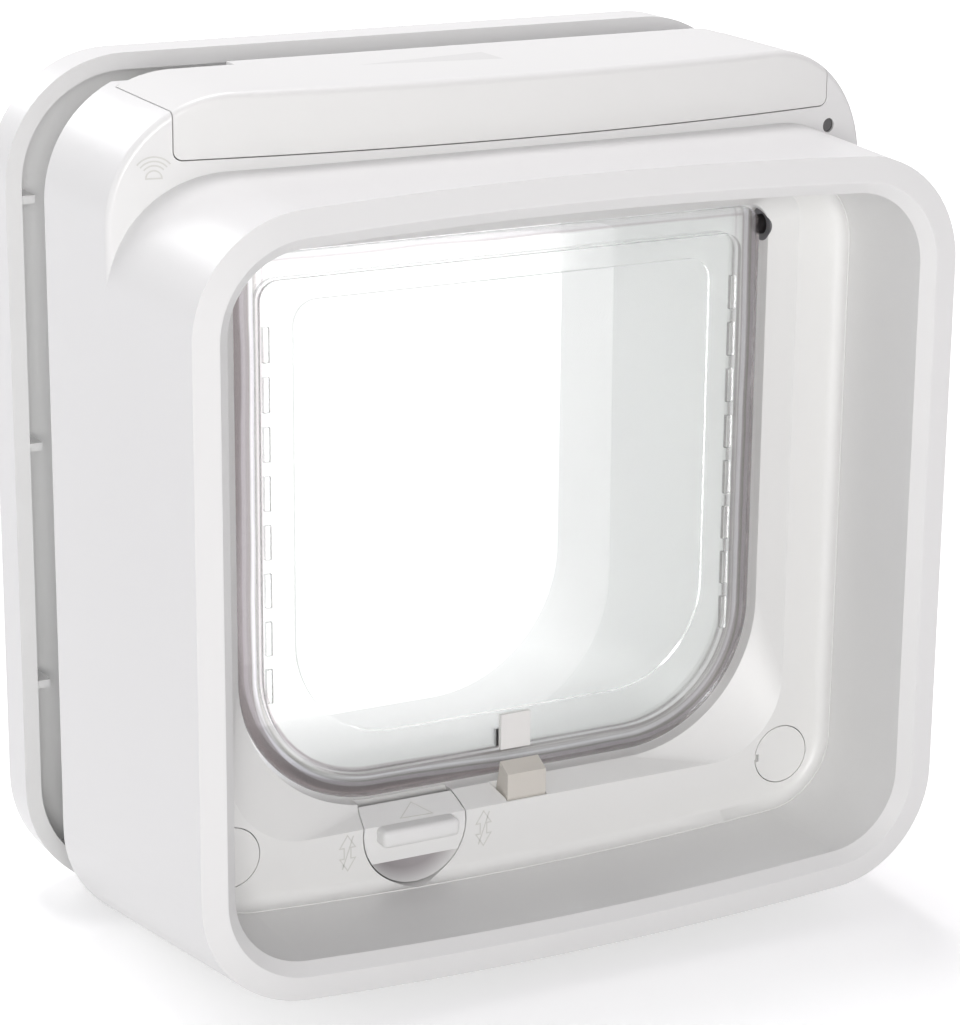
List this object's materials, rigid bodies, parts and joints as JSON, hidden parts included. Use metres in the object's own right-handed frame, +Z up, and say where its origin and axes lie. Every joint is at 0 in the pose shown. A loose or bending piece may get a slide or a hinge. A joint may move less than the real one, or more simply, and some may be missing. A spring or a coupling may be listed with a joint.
{
  "type": "cat flap",
  "caption": "Cat flap for a door: deep white housing with a clear hinged pane, lock knob, catches and battery cover, a tunnel and an outer frame.",
  "frame": {"origin": "middle of the footprint, on the surface that the flap stands on", "axes": "+X to the right seen from the room, +Y from the room through the door, +Z up"},
  "size_m": [0.208, 0.146, 0.2163],
  "materials": {
    "housing_white": "satin white moulding",
    "plate_white": "satin white moulding",
    "tunnel_white": "satin white moulding",
    "frame_white": "satin white moulding",
    "cover_white": "satin white moulding",
    "clear_pane": "polished clear plastic",
    "strike_white": "satin",
    "magnet_steel": "plain",
    "bush_grey": "matte",
    "knob_white": "satin",
    "catch_beige": "matte",
    "cap_white": "satin",
    "motor_metal": "plain",
    "screw_steel": "zinc plated",
    "nut_brass": "plain",
    "board_green": "solder mask",
    "coil_copper": "enamelled wire",
    "led_dark": "dark lens",
    "tray_white": "matte",
    "button_grey": "matte",
    "cell_sleeve": "printed sleeve, left plain",
    "contact_nickel": "nickel plated"
  },
  "bodies": {
    "housing": {"cowl_shell": "housing_white", "face_plate": "plate_white", "tunnel_plate": "tunnel_white", "outer_frame": "frame_white", "hinge_bush_left": "bush_grey", "hinge_bush_right": "bush_grey", "lock_motor": "motor_metal", "screw_cap_left": "cap_white", "screw_cap_right": "cap_white", "fixing_screws": "screw_steel", "captive_nuts": "nut_brass", "case_screws": "screw_steel", "circuit_board": "board_green", "antenna_coil": "coil_copper", "led_lens": "led_dark", "battery_tray": "tray_white", "battery_1": "cell_sleeve", "battery_2": "cell_sleeve", "battery_3": "cell_sleeve", "battery_4": "cell_sleeve", "spring_contacts": "contact_nickel", "strip_contacts": "contact_nickel"},
    "flap": {"flap_pane": "clear_pane", "flap_strike": "strike_white", "flap_magnet": "magnet_steel"},
    "entry_latch": {"entry_catch": "catch_beige"},
    "exit_latch": {"exit_catch": "catch_beige"},
    "knob": {"lock_knob": "knob_white"},
    "cover": {"battery_cover": "cover_white"},
    "button": {"learn_button": "button_grey"}
  },
  "joints": [
    {"name": "flap_swing", "type": "hinge", "parent": "housing", "child": "flap", "pos_m": [0, -0.0275, 0.1725], "axis": [1, 0, 0], "range_deg": [0, 75]},
    {"name": "entry_latch_slide", "type": "slide", "parent": "housing", "child": "entry_latch", "axis": [0, 0.2261, -0.9741], "range_m": [0, 0.0057], "stiffness_N_per_m": 20, "springref_m": -0.002},
    {"name": "exit_latch_slide", "type": "slide", "parent": "housing", "child": "exit_latch", "axis": [0, 0, 1], "range_m": [0, 0.005]},
    {"name": "knob_turn", "type": "hinge", "parent": "housing", "child": "knob", "pos_m": [-0.0284, -0.035, 0.0321], "axis": [0, 1, 0], "range_deg": [0, 270]},
    {"name": "cover_lift", "type": "slide", "parent": "housing", "child": "cover", "axis": [0, 0, 1], "range_m": [0, 0.03]},
    {"name": "button_press", "type": "slide", "parent": "housing", "child": "button", "axis": [0, 0, -1], "range_m": [0, 0.0008], "stiffness_N_per_m": 400, "springref_m": -0.0005}
  ]
}
